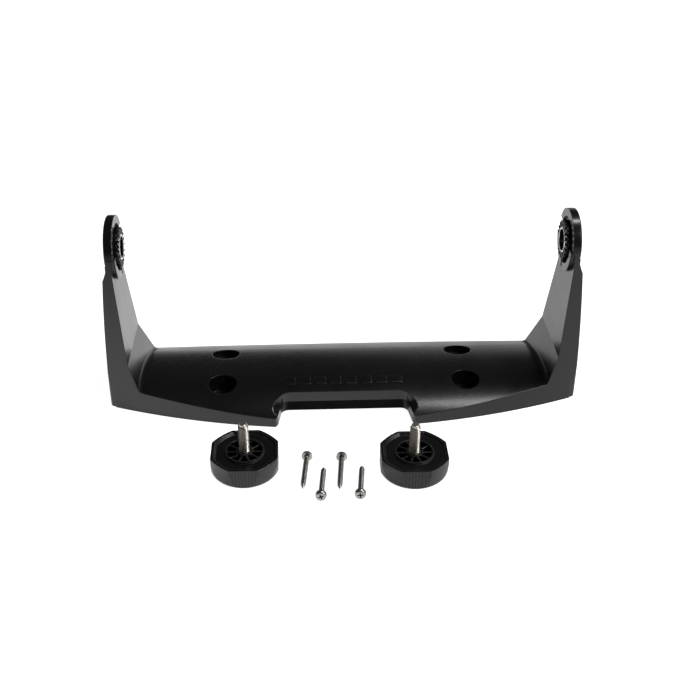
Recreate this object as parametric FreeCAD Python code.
import FreeCAD, Part
import math
import os

# Trunnion mounting bracket kit of a boat's chartplotter: one moulded U bracket,
# two clamp knobs with studs and four pan-head screws, laid out on a flat floor.
# Millimetres. X runs along the bracket, -Y is its bowed front, +Z is up.
# The origin is the centre of the four-hole pattern, on the underside.

# ---- base of the bracket ------------------------------------------------------
FRONT_RADIUS = 415.0        # plan radius of the bowed front face
FRONT_MID_Y = -50.2         # where that bow would cross the middle, at the floor
FRONT_LEAN = 0.045          # the front face leans back this much per mm of height
REAR_MID_Y = 45.0           # rear edge at the middle
REAR_RADIUS = 2200.0        # plan radius of the slightly bowed rear edge
CREST_Y = -12.0             # line along which the arched top is highest
CREST_Z = 16.9
CREST_FRONT_RADIUS = 64.0   # the arch falls faster towards the front
CREST_REAR_RADIUS = 145.0   # and slowly towards the rear
TRAY_HALF = 133.0           # the tray ends here and the arm roots begin
SKIN = 2.8                  # wall of the moulding over the underside pockets
RIB_PITCH = 27.0
RIB_THICK = 2.2

# ---- arms -----------------------------------------------------------------------
FOOT_OUTER_X = 154.3        # outer face at the floor
BELLY_OUTER_X = 153.0       # outer face half way up
TOP_OUTER_X = 149.4         # outer face below the pivot boss
ARM_TOP_Z = 95.0
GUSSET_TOP_X = 139.4        # crease between arm face and gusset
GUSSET_TOP_Z = 34.0
GUSSET_FOOT_X = 130.2       # the gusset runs on down inside the tray
GUSSET_FOOT_Z = 4.0
COVE_RADIUS = 2.4           # hollow rounding between gusset and tray
COVE_BITE = 0.03            # how far the cove's edges sink into both faces
INNER_TOP_X = 142.9         # inner face below the pivot boss
ARM_REAR_TOP_Y = 17.3       # rear edge of the arm, level with the boss underside
ARM_REAR_TOP_Z = 85.0
ARM_REAR_KNEE_Y = 29.2      # and where the gusset begins
ARM_REAR_FOOT_Y = 42.6
FOOT_CORNER = 2.6           # rounding of the outer front corner

# ---- pivot boss -------------------------------------------------------------------
PIVOT_Y = 1.0
PIVOT_Z = 106.6
BOSS_RADIUS = 20.1
BOSS_OUTER_X = 147.0
BOSS_LIP_X = 141.5          # raised lip over the top of the boss
BOSS_FOOT_X = 140.4         # lower half, which stands further in
BOSS_FLOOR_X = 143.0        # channel between ring and lip
CHANNEL_RADIUS = 15.0
CHANNEL_HALF = 5.2          # the channel runs out over the rear of the boss
KEY_HALF = 1.6              # keyway down the middle of the lower half
KEY_DEPTH = 1.1
SEAT_RADIUS = 21.2          # recess in the arm that clears the knob
SEAT_FLARE = 3.2
RING_RADIUS = 12.4          # toothed ring
RING_BASE_X = 140.3
RING_TOOTH_X = 138.8
RING_SOCKET_X = 144.4
TEETH = 20
BUSH_RADIUS = 8.0
BORE_RADIUS = 6.9
BUSH_INNER_X = 138.6

# ---- screw holes and cable notch -----------------------------------------------------
HOLE_X = 80.0
HOLE_Y = 20.5
HOLE_RADIUS = 2.3
COUNTERBORE_RADIUS = 9.4
COUNTERBORE_FLOOR_Z = 5.0
NOTCH_TOP = {"back_y": -29.6, "back_half": 38.0, "back_round": 10.0,
             "front_y": -50.9, "front_half": 65.5, "front_round": 6.0}
NOTCH_LEDGE = {"back_y": -29.6, "back_half": 41.0, "back_round": 5.0,
               "front_y": -48.4, "front_half": 43.9, "front_round": 6.0}
UNDERCUT_TOP = {**NOTCH_LEDGE, "back_y": -25.6, "back_half": 40.4}
UNDERCUT_FLOOR = {**NOTCH_LEDGE, "back_y": -29.3, "back_half": 40.95}
NOTCH_FLARE = (15.0, -2.6)   # how the notch opens out along the front face
NOTCH_TOP_Z = 15.0
NOTCH_LEDGE_Z = 7.3         # below this height the back wall steps in

# ---- knobs -------------------------------------------------------------------------
KNOB_PLACES = {"left": (-62.9, -89.2), "right": (39.4, -93.8)}
KNOB_FLATS = 40.4
KNOB_BULGE = 0.9            # the corner faces are slightly curved
KNOB_HEIGHT = 13.8
KNOB_RIM = 1.7
KNOB_DISH = 1.3
KNOB_RING_RADIUS = 11.8
KNOB_RING_WALL = 0.9
KNOB_HUB_RADIUS = 5.2
KNOB_WEBS = 10
KNOB_WEB_THICK = 0.9
KNOB_POCKET_Z = 7.5
KNOB_GROOVES = 8
KNOB_GROOVE_PITCH = 1.93
KNOB_GROOVE_WIDTH = 0.95
KNOB_GROOVE_DEPTH = 0.6
STUD_RADIUS = 3.175
STUD_FOOT_Z = 3.0
STUD_ROOT_RADIUS = 3.5
STUD_ROOT_Z = 13.4
STUD_RELIEF_RADIUS = 4.1
STUD_TIP_Z = 33.8
STUD_CHAMFER = 0.8

# ---- screws: No. 6 x 1 1/4 in pan head ------------------------------------------------
SCREW_LENGTH = 31.0
SCREW_RADIUS = 1.75
SCREW_ROOT_RADIUS = 1.2
SCREW_PITCH = 1.6
SCREW_HEAD_RADIUS = 3.45
SCREW_HEAD_HEIGHT = 2.5
SCREW_POINT = 4.2
# centre of the head's top and the way the point looks, for each screw
SCREW_PLACES = {
    "screw_1": ((-25.1, -81.2), (-3.1, -30.3)),
    "screw_2": ((-17.6, -122.2), (2.5, 30.1)),
    "screw_3": ((-3.9, -82.6), (-2.4, -30.7)),
    "screw_4": ((5.5, -121.6), (2.7, 30.7)),
}

X_AXIS = FreeCAD.Vector(1, 0, 0)
Y_AXIS = FreeCAD.Vector(0, 1, 0)
Z_AXIS = FreeCAD.Vector(0, 0, 1)
TALL = 140.0


def vec(x, y, z=0.0):
    return FreeCAD.Vector(x, y, z)


def closed(points):
    """The points of a polygon with its first repeated at the end."""
    return points + points[:1]


def prism(points, along):
    """Solid swept from a flat polygon."""
    return Part.Face(Part.makePolygon(closed(points))).extrude(along)


def mirrored(shape):
    """The same piece on the other side of the bracket."""
    return shape.mirror(vec(0, 0), X_AXIS)


def arch_z(y, offset=0.0):
    """Height of the arched top at y; offset moves it straight inwards."""
    radius = CREST_FRONT_RADIUS if y < CREST_Y else CREST_REAR_RADIUS
    reach = radius - offset
    return CREST_Z - radius + math.sqrt(reach ** 2 - (y - CREST_Y) ** 2)


def under_arch(offset, half):
    """Everything below the arched top (moved inwards by offset)."""
    front_y = FRONT_MID_Y - 4.0
    rear_y = REAR_MID_Y + 6.0
    floor_z = -1.0
    front = vec(-half, front_y, arch_z(front_y, offset))
    crest = vec(-half, CREST_Y, CREST_Z - offset)
    rear = vec(-half, rear_y, arch_z(rear_y, offset))
    front_mid_y = (front_y + CREST_Y) / 2
    rear_mid_y = (rear_y + CREST_Y) / 2
    front_mid = vec(-half, front_mid_y, arch_z(front_mid_y, offset))
    rear_mid = vec(-half, rear_mid_y, arch_z(rear_mid_y, offset))
    front_foot = vec(-half, front_y, floor_z)
    rear_foot = vec(-half, rear_y, floor_z)
    outline = Part.Wire([
        Part.Arc(front, front_mid, crest).toShape(),
        Part.Arc(crest, rear_mid, rear).toShape(),
        Part.makeLine(rear, rear_foot),
        Part.makeLine(rear_foot, front_foot),
        Part.makeLine(front_foot, front),
    ])
    return Part.Face(outline).extrude(X_AXIS * 2 * half)


def bow_outline(z, inset, half):
    """Plan outline at height z: bowed front, slightly bowed rear, square ends."""
    shift = FRONT_LEAN * z + inset
    rear_shift = -inset

    def front_y(x):
        return FRONT_MID_Y + shift + FRONT_RADIUS - math.sqrt(FRONT_RADIUS ** 2 - x ** 2)

    def rear_y(x):
        return REAR_MID_Y + rear_shift - REAR_RADIUS + math.sqrt(REAR_RADIUS ** 2 - x ** 2)

    front_left = vec(-half, front_y(half), z)
    front_right = vec(half, front_y(half), z)
    rear_left = vec(-half, rear_y(half), z)
    rear_right = vec(half, rear_y(half), z)
    return Part.Wire([
        Part.Arc(front_left, vec(0, front_y(0), z), front_right).toShape(),
        Part.makeLine(front_right, rear_right),
        Part.Arc(rear_right, vec(0, rear_y(0), z), rear_left).toShape(),
        Part.makeLine(rear_left, front_left),
    ])


def bow_envelope(inset=0.0, half=FOOT_OUTER_X + 4.0, z_low=0.0, z_high=TALL):
    """Everything behind the leaning, bowed front face."""
    low = bow_outline(z_low, inset, half)
    high = bow_outline(z_high, inset, half)
    return Part.makeLoft([low, high], True, True)


def rounded_corner(before, corner, after, radius):
    """Start, middle and end of the arc that rounds a corner in plan."""
    back = (before - corner).normalize()
    on = (after - corner).normalize()
    half_angle = back.getAngle(on) / 2
    reach = radius / math.tan(half_angle)
    inward = (back + on).normalize()
    middle = corner + inward * (radius / math.sin(half_angle) - radius)
    return corner + back * reach, middle, corner + on * reach


def notch_outline(sizes, z, grow=0.0):
    """Cable notch in plan at one height: rounded at the back, flaring at the front face."""
    front = vec(sizes["front_half"] + grow, sizes["front_y"], z)
    back = vec(sizes["back_half"] + grow, sizes["back_y"] + grow, z)
    centre = vec(0, sizes["back_y"] + grow, z)
    mouth = front + vec(*NOTCH_FLARE)
    flare = rounded_corner(mouth, front, back, sizes["front_round"])
    bend = rounded_corner(front, back, centre, sizes["back_round"])
    right = [
        Part.makeLine(mouth, flare[0]),
        Part.Arc(*flare).toShape(),
        Part.makeLine(flare[2], bend[0]),
        Part.Arc(*bend).toShape(),
    ]
    left = [mirrored(edge) for edge in reversed(right)]
    across = Part.makeLine(bend[2], vec(-bend[2].x, bend[2].y, z))
    shut = Part.makeLine(vec(-mouth.x, mouth.y, z), mouth)
    return Part.Wire(right + [across] + left + [shut])


def tapered_cut(low, low_z, high, high_z, roof=0.0, grow=0.0):
    """Cut that tapers from one outline to another and may go straight up by roof."""
    low_wire = notch_outline(low, low_z, grow)
    high_wire = notch_outline(high, high_z, grow)
    taper = Part.makeLoft([low_wire, high_wire], True, True)
    if roof > 0:
        taper = taper.fuse(Part.Face(high_wire).extrude(Z_AXIS * roof))
    return taper


def notch(grow=0.0):
    """Upper part of the cable notch: its back is upright and its sides fall to the ledge."""
    return tapered_cut(NOTCH_LEDGE, NOTCH_LEDGE_Z, NOTCH_TOP, NOTCH_TOP_Z, 10.0, grow)


def undercut(roof=0.0, grow=0.0):
    """Lower part of the cable notch, hollowed out at the back under the ledge."""
    hollow = tapered_cut(UNDERCUT_FLOOR, 0.0, UNDERCUT_TOP, NOTCH_LEDGE_Z, roof, grow)
    below = Part.Face(notch_outline(UNDERCUT_FLOOR, 0.0, grow)).extrude(Z_AXIS * -3)
    return hollow.fuse(below)


def arm_side():
    """Everything in front of the arm's rear edge, which bends where the gusset begins."""
    slope = (ARM_REAR_KNEE_Y - ARM_REAR_TOP_Y) / (ARM_REAR_TOP_Z - GUSSET_TOP_Z)
    crown_rear_y = ARM_REAR_TOP_Y - slope * (PIVOT_Z - ARM_REAR_TOP_Z)
    return prism([
        vec(100, -70, 0),
        vec(100, ARM_REAR_FOOT_Y, 0),
        vec(100, ARM_REAR_KNEE_Y, GUSSET_TOP_Z),
        vec(100, crown_rear_y, PIVOT_Z),
        vec(100, -70, PIVOT_Z),
    ], X_AXIS * 70)


def arm():
    """Right arm with its root, before the pivot boss is added."""
    outer_foot = vec(FOOT_OUTER_X, -70, 0)
    outer_belly = vec(BELLY_OUTER_X, -70, ARM_TOP_Z / 2)
    outer_top = vec(TOP_OUTER_X, -70, ARM_TOP_Z)
    crown_z = PIVOT_Z
    corners = [
        vec(TOP_OUTER_X, -70, crown_z),
        vec(INNER_TOP_X, -70, crown_z),
        vec(INNER_TOP_X, -70, ARM_TOP_Z),
        vec(GUSSET_TOP_X, -70, GUSSET_TOP_Z),
        vec(GUSSET_FOOT_X, -70, GUSSET_FOOT_Z),
        vec(GUSSET_FOOT_X, -70, 0),
        outer_foot,
    ]
    edges = [Part.Arc(outer_foot, outer_belly, outer_top).toShape(), Part.makeLine(outer_top, corners[0])]
    for start, end in zip(corners, corners[1:]):
        edges.append(Part.makeLine(start, end))
    section = Part.Face(Part.Wire(edges)).extrude(Y_AXIS * 140)
    return section.common(arm_side()).common(bow_envelope())


def cove_section(y):
    """Cross-section of the hollow rounding between tray and gusset at one depth."""
    lean = (GUSSET_TOP_X - GUSSET_FOOT_X) / (GUSSET_TOP_Z - GUSSET_FOOT_Z)
    up = vec(lean, 0, 1).normalize()
    floor = arch_z(y)
    crease = vec(GUSSET_TOP_X - lean * (GUSSET_TOP_Z - floor), y, floor)
    half_angle = (math.pi - math.atan2(1, lean)) / 2
    reach = COVE_RADIUS / math.tan(half_angle) + 0.15
    on_tray = crease + vec(-reach, 0, -COVE_BITE)
    on_gusset = crease + up * reach + vec(COVE_BITE, 0, 0)
    towards = (vec(-1, 0, 0) + up).normalize()
    middle = crease + towards * (COVE_RADIUS / math.sin(half_angle) - COVE_RADIUS)
    buried = [
        on_gusset,
        on_gusset + vec(1.2, 0, 0),
        crease + vec(1.2, 0, -0.8),
        on_tray + vec(0, 0, -0.8),
        on_tray,
    ]
    edges = [Part.makeLine(a, b) for a, b in zip(buried, buried[1:])]
    return Part.Wire([Part.Arc(on_tray, middle, on_gusset).toShape()] + edges)


def cove():
    """Hollow rounding along the right gusset, cut to the front and rear faces."""
    sections = [cove_section(y) for y in (-34.0, -27.0, -19.0, -10.0, 4.0, 18.0, 30.0, REAR_MID_Y + 1.0)]
    swept = Part.makeLoft(sections, True, False)
    return swept.common(arm_side()).common(bow_envelope())


def pivot_axis_cylinder(radius, x_low, x_high):
    """Round piece on the tilt axis of the right arm."""
    return Part.makeCylinder(radius, x_high - x_low, vec(x_low, PIVOT_Y, PIVOT_Z), X_AXIS)


def boss():
    """Disc at the top of the arm: lip above, proud half below, channel to the rear."""
    disc = pivot_axis_cylinder(BOSS_RADIUS, BOSS_FOOT_X, BOSS_OUTER_X)
    disc = disc.makeFillet(1.3, [e for e in disc.Edges if len(e.Vertexes) == 1])
    reach = BOSS_RADIUS + 2.0
    near_x = BOSS_FOOT_X - 2.0
    over = Part.makeBox(BOSS_LIP_X - near_x, 2 * reach, reach, vec(near_x, PIVOT_Y - reach, PIVOT_Z))
    channel = pivot_axis_cylinder(CHANNEL_RADIUS, near_x, BOSS_FLOOR_X)
    to_rear = Part.makeBox(
        BOSS_FLOOR_X - near_x, reach, 2 * CHANNEL_HALF,
        vec(near_x, PIVOT_Y, PIVOT_Z - CHANNEL_HALF),
    )
    to_rear.rotate(vec(0, PIVOT_Y, PIVOT_Z), X_AXIS, 8.0)
    key_x = BOSS_FOOT_X + KEY_DEPTH
    key = prism([
        vec(near_x, PIVOT_Y - KEY_HALF - 2.0, PIVOT_Z),
        vec(BOSS_FOOT_X, PIVOT_Y - KEY_HALF, PIVOT_Z),
        vec(key_x, PIVOT_Y - KEY_HALF + KEY_DEPTH, PIVOT_Z),
        vec(key_x, PIVOT_Y + KEY_HALF - KEY_DEPTH, PIVOT_Z),
        vec(BOSS_FOOT_X, PIVOT_Y + KEY_HALF, PIVOT_Z),
        vec(near_x, PIVOT_Y + KEY_HALF + 2.0, PIVOT_Z),
    ], Z_AXIS * -reach)
    return disc.cut([over, channel, to_rear, key])


def bracket_body():
    """The moulded U bracket."""
    tray = under_arch(0.0, TRAY_HALF + 5.0).common(bow_envelope())
    right = arm()
    body = tray.fuse([right, mirrored(right)]).removeSplitter()
    hollow_round = cove()
    body = body.fuse([hollow_round, mirrored(hollow_round)])

    seat = pivot_axis_cylinder(SEAT_RADIUS, BOSS_OUTER_X, FOOT_OUTER_X + 6)
    flare = Part.makeCone(
        SEAT_RADIUS, SEAT_RADIUS + SEAT_FLARE, SEAT_FLARE,
        vec(BOSS_OUTER_X, PIVOT_Y, PIVOT_Z), X_AXIS,
    )
    head_room = pivot_axis_cylinder(BOSS_RADIUS, BOSS_FOOT_X - 6, BOSS_OUTER_X)
    disc = boss()
    for cutter in (seat, flare, head_room):
        body = body.cut([cutter, mirrored(cutter)])
    body = body.fuse([disc, mirrored(disc)])

    socket = pivot_axis_cylinder(RING_RADIUS, RING_TOOTH_X - 6, RING_SOCKET_X)
    through = pivot_axis_cylinder(BUSH_RADIUS, RING_TOOTH_X - 6, FOOT_OUTER_X + 6)
    body = body.cut([socket, mirrored(socket), through, mirrored(through)])

    corner = outer_corner_cutter()
    body = body.cut([corner, mirrored(corner)])
    body = body.cut([notch(), undercut()])
    body = body.cut(underside_pockets())
    body = body.cut(screw_holes())
    return body.removeSplitter()


def front_corner():
    """Where the outer arm face meets the bowed front, at the floor."""
    y = FRONT_MID_Y + FRONT_RADIUS - math.sqrt(FRONT_RADIUS ** 2 - FOOT_OUTER_X ** 2)
    return FOOT_OUTER_X, y


def outer_corner_cutter():
    """Takes the sharp outer front corner off the arm root."""
    x, y = front_corner()
    return prism([
        vec(x + 2, y - 2, -1),
        vec(x + 2, y + FOOT_CORNER, -1),
        vec(x, y + FOOT_CORNER * 0.55, -1),
        vec(x - FOOT_CORNER * 0.45, y + FOOT_CORNER * 0.1, -1),
        vec(x - FOOT_CORNER * 1.3, y - FOOT_CORNER * 0.25, -1),
        vec(x - FOOT_CORNER * 1.3, y - 6, -1),
    ], Z_AXIS * (ARM_TOP_Z - 20))


def underside_pockets():
    """Hollows between the ribs, open to the floor."""
    hollow = under_arch(SKIN, TRAY_HALF - 3.0)
    hollow = hollow.common(bow_envelope(SKIN + 0.4, TRAY_HALF - 3.0, -1.0, TALL))
    wall = SKIN + 1.2
    keep = [notch(wall), undercut(10.0, wall)]
    for x in (-HOLE_X, HOLE_X):
        for y in (-HOLE_Y, HOLE_Y):
            keep.append(Part.makeCylinder(COUNTERBORE_RADIUS + SKIN, 30, vec(x, y, -2)))
    rib_count = int(TRAY_HALF / RIB_PITCH)
    for index in range(-rib_count, rib_count + 1):
        keep.append(Part.makeBox(RIB_THICK, 120, 30, vec(index * RIB_PITCH - RIB_THICK / 2, -60, -2)))
    for y in (-HOLE_Y + 9.0, HOLE_Y - 5.0):
        keep.append(Part.makeBox(2 * TRAY_HALF, RIB_THICK, 30, vec(-TRAY_HALF, y, -2)))
    return hollow.cut(keep)


def screw_holes():
    """Counterbored holes, one in each corner of the pattern."""
    cutters = []
    for x in (-HOLE_X, HOLE_X):
        for y in (-HOLE_Y, HOLE_Y):
            cutters.append(Part.makeCylinder(HOLE_RADIUS, 40, vec(x, y, -2)))
            cutters.append(Part.makeCylinder(COUNTERBORE_RADIUS, 40, vec(x, y, COUNTERBORE_FLOOR_Z)))
    return cutters[0].fuse(cutters[1:])


def ratchet_ring():
    """Crown-toothed ring that sets the tilt."""
    blank = pivot_axis_cylinder(RING_RADIUS, RING_TOOTH_X, RING_SOCKET_X)
    blank = blank.cut(pivot_axis_cylinder(BUSH_RADIUS, RING_TOOTH_X - 1, RING_SOCKET_X + 1))
    step = 360.0 / TEETH
    gaps = []
    for index in range(TEETH):
        gap = tooth_gap(math.radians(step) / 2 * 0.9)
        gap.rotate(vec(0, PIVOT_Y, PIVOT_Z), X_AXIS, (index + 0.5) * step)
        gaps.append(gap)
    return blank.cut(gaps)


def tooth_gap(half_angle):
    """Wedge between two teeth, widening outwards, pointing down the arm."""
    face_x = RING_TOOTH_X - 0.2

    def section(radius):
        z = PIVOT_Z - radius
        half = radius * math.tan(half_angle)
        return Part.makePolygon(closed([
            vec(RING_BASE_X, PIVOT_Y, z),
            vec(face_x, PIVOT_Y - half, z),
            vec(face_x, PIVOT_Y + half, z),
        ]))

    return Part.makeLoft([section(BUSH_RADIUS - 1.0), section(RING_RADIUS + 2.0)], True, True)


def pivot_bush():
    """Plated sleeve lining the tilt bore."""
    sleeve = pivot_axis_cylinder(BUSH_RADIUS, BUSH_INNER_X, BOSS_OUTER_X)
    sleeve = sleeve.cut(pivot_axis_cylinder(BORE_RADIUS, BUSH_INNER_X - 1, BOSS_OUTER_X + 1))
    lips = [e for e in sleeve.Edges if len(e.Vertexes) == 1 and e.CenterOfMass.x < BUSH_INNER_X + 0.1]
    return sleeve.makeChamfer(0.35, lips)


def octagon(flats, bulge, z):
    """Outline with four straight sides and four slightly curved corner faces."""
    radius = flats / 2 / math.cos(math.radians(22.5))
    corners = []
    for index in range(8):
        angle = math.radians(-22.5 + 45.0 * index)
        corners.append(vec(radius * math.cos(angle), radius * math.sin(angle), z))
    edges = []
    for index, (start, end) in enumerate(zip(corners, corners[1:] + corners[:1])):
        if index % 2 == 0:
            edges.append(Part.makeLine(start, end))
            continue
        angle = math.radians(45.0 * index)
        reach = flats / 2 + bulge
        middle = vec(reach * math.cos(angle), reach * math.sin(angle), z)
        edges.append(Part.Arc(start, middle, end).toShape())
    return Part.Wire(edges)


def knob_grip():
    """Octagonal grip, stud side up, resting on its outer face."""
    body = Part.Face(octagon(KNOB_FLATS, KNOB_BULGE, 0.0)).extrude(Z_AXIS * KNOB_HEIGHT)
    uprights = [e for e in body.Edges if abs(e.tangentAt(e.FirstParameter).z) > 0.99]
    body = body.makeFillet(1.6, uprights)

    half = KNOB_FLATS / 2
    crown = Part.Wire([
        Part.makeLine(vec(0, 0, 0), vec(half - 1.6, 0, 0)),
        Part.Arc(vec(half - 1.6, 0, 0), vec(half + 0.1, 0, 1.2), vec(half + 0.9, 0, 3.6)).toShape(),
        Part.makeLine(vec(half + 0.9, 0, 3.6), vec(half + 2.2, 0, KNOB_HEIGHT)),
        Part.makeLine(vec(half + 2.2, 0, KNOB_HEIGHT), vec(0, 0, KNOB_HEIGHT)),
        Part.makeLine(vec(0, 0, KNOB_HEIGHT), vec(0, 0, 0)),
    ])
    body = body.common(Part.Face(crown).revolve(vec(0, 0), Z_AXIS, 360))

    grooves = []
    for side in range(4):
        for index in range(KNOB_GROOVES):
            offset = (index - (KNOB_GROOVES - 1) / 2) * KNOB_GROOVE_PITCH
            groove = Part.makeBox(
                KNOB_GROOVE_WIDTH, KNOB_GROOVE_DEPTH + 2, KNOB_HEIGHT,
                vec(offset - KNOB_GROOVE_WIDTH / 2, -half - 2, -1.0),
            )
            groove.rotate(vec(0, 0), Z_AXIS, 90.0 * side)
            grooves.append(groove)
    body = body.cut(grooves)

    dish_flats = KNOB_FLATS - 2 * KNOB_RIM
    floor_z = KNOB_HEIGHT - KNOB_DISH
    dish = Part.makeLoft([
        octagon(dish_flats - 2 * KNOB_DISH, KNOB_BULGE, floor_z),
        octagon(dish_flats + 0.4, KNOB_BULGE, KNOB_HEIGHT + 0.2),
    ], True, True)
    dish = dish.cut(Part.makeCylinder(KNOB_RING_RADIUS, 10, vec(0, 0, floor_z - 1)))
    body = body.cut(dish)

    pocket = Part.makeCylinder(KNOB_RING_RADIUS - KNOB_RING_WALL, 10, vec(0, 0, KNOB_POCKET_Z))
    pocket = pocket.cut(Part.makeCylinder(KNOB_HUB_RADIUS, 12, vec(0, 0, KNOB_POCKET_Z - 1)))
    webs = []
    for index in range(KNOB_WEBS):
        web = Part.makeBox(
            KNOB_RING_RADIUS, KNOB_WEB_THICK, KNOB_HEIGHT - 0.9,
            vec(0, -KNOB_WEB_THICK / 2, 0),
        )
        web.rotate(vec(0, 0), Z_AXIS, 360.0 / KNOB_WEBS * (index + 0.5) + 90)
        webs.append(web)
    body = body.cut(pocket.cut(webs))

    badge = Part.makeCylinder(12.0, 0.5, vec(0, 0, 0))
    body = body.cut(badge)
    socket = Part.makeCylinder(STUD_ROOT_RADIUS, KNOB_HEIGHT, vec(0, 0, STUD_FOOT_Z))
    relief = Part.makeCylinder(STUD_RELIEF_RADIUS, KNOB_HEIGHT, vec(0, 0, STUD_ROOT_Z))
    return body.cut([socket, relief])


def knob_stud():
    """Stud with a thicker root moulded into the grip, plain at full thread diameter above it."""
    root = Part.makeCylinder(STUD_ROOT_RADIUS, STUD_ROOT_Z - STUD_FOOT_Z, vec(0, 0, STUD_FOOT_Z))
    rod = Part.makeCylinder(STUD_RADIUS, STUD_TIP_Z - STUD_ROOT_Z, vec(0, 0, STUD_ROOT_Z))
    tip = [e for e in rod.Edges if len(e.Vertexes) == 1 and e.CenterOfMass.z > STUD_TIP_Z - 0.1]
    return root.fuse(rod.makeChamfer(STUD_CHAMFER, tip))


def screw():
    """Pan-head wood screw, head top at the origin, point towards +Z."""
    head = Part.Wire([
        Part.makeLine(vec(0, 0, 0), vec(SCREW_HEAD_RADIUS * 0.62, 0, 0)),
        Part.Arc(
            vec(SCREW_HEAD_RADIUS * 0.62, 0, 0),
            vec(SCREW_HEAD_RADIUS * 0.93, 0, SCREW_HEAD_HEIGHT * 0.26),
            vec(SCREW_HEAD_RADIUS, 0, SCREW_HEAD_HEIGHT * 0.75),
        ).toShape(),
        Part.makeLine(
            vec(SCREW_HEAD_RADIUS, 0, SCREW_HEAD_HEIGHT * 0.75),
            vec(SCREW_HEAD_RADIUS, 0, SCREW_HEAD_HEIGHT),
        ),
        Part.makeLine(vec(SCREW_HEAD_RADIUS, 0, SCREW_HEAD_HEIGHT), vec(0, 0, SCREW_HEAD_HEIGHT)),
        Part.makeLine(vec(0, 0, SCREW_HEAD_HEIGHT), vec(0, 0, 0)),
    ])
    head = Part.Face(head).revolve(vec(0, 0), Z_AXIS, 360)
    for angle in (0, 90):
        slot = Part.makeBox(0.8, 3.6, 1.5, vec(-0.4, -1.8, -0.01))
        slot.rotate(vec(0, 0), Z_AXIS, angle)
        head = head.cut(slot)

    shank_end = SCREW_LENGTH - SCREW_POINT
    outline = [vec(0, 0, SCREW_HEAD_HEIGHT - 0.5), vec(SCREW_ROOT_RADIUS, 0, SCREW_HEAD_HEIGHT - 0.5)]
    z = SCREW_HEAD_HEIGHT + 0.6
    outline.append(vec(SCREW_ROOT_RADIUS, 0, z))
    while z + SCREW_PITCH <= SCREW_LENGTH - 0.8:
        taper = max(0.0, (z + SCREW_PITCH - shank_end) / SCREW_POINT)
        crest = SCREW_RADIUS * (1 - 0.75 * taper)
        root = SCREW_ROOT_RADIUS * (1 - 0.75 * taper)
        outline.append(vec(crest, 0, z + SCREW_PITCH * 0.45))
        outline.append(vec(crest, 0, z + SCREW_PITCH * 0.55))
        outline.append(vec(root, 0, z + SCREW_PITCH))
        z += SCREW_PITCH
    outline.append(vec(0, 0, SCREW_LENGTH))
    shank = Part.Face(Part.makePolygon(closed(outline))).revolve(vec(0, 0), Z_AXIS, 360)
    return head.fuse(shank)


def lying_screw(head_xy, way):
    """A screw at rest on the edge of its head and its last full thread."""
    piece = screw()
    threaded = SCREW_LENGTH - SCREW_POINT - SCREW_HEAD_HEIGHT
    tilt = math.degrees(math.atan((SCREW_HEAD_RADIUS - SCREW_RADIUS) / threaded))
    heading = math.degrees(math.atan2(way[1], way[0]))
    piece.rotate(vec(0, 0), Y_AXIS, 90.0 + tilt)
    piece.rotate(vec(0, 0), Z_AXIS, heading)
    piece.translate(vec(head_xy[0], head_xy[1], 0))
    piece.translate(vec(0, 0, -lowest(piece)))
    return piece


def lowest(shape):
    """Lowest point of a shape."""
    return shape.optimalBoundingBox(False).ZMin


def save(name, shape):
    assert shape.isValid(), name
    assert len(shape.Solids) == 1, (name, len(shape.Solids))
    shape.Solids[0].exportStep(os.path.join("parts", name + ".step"))
    box = shape.optimalBoundingBox(False)
    print(name, [round(v, 2) for v in (box.XMin, box.XMax, box.YMin, box.YMax, box.ZMin, box.ZMax)])


os.makedirs("parts", exist_ok=True)
save("bracket", bracket_body())
ring = ratchet_ring()
bush = pivot_bush()
save("ratchet_ring_right", ring)
save("ratchet_ring_left", mirrored(ring))
save("pivot_bush_right", bush)
save("pivot_bush_left", mirrored(bush))
for side, (x, y) in KNOB_PLACES.items():
    grip = knob_grip()
    grip.translate(vec(x, y))
    stud = knob_stud()
    stud.translate(vec(x, y))
    save("knob_grip_" + side, grip)
    save("knob_stud_" + side, stud)
for name, (head_xy, way) in SCREW_PLACES.items():
    save(name, lying_screw(head_xy, way))
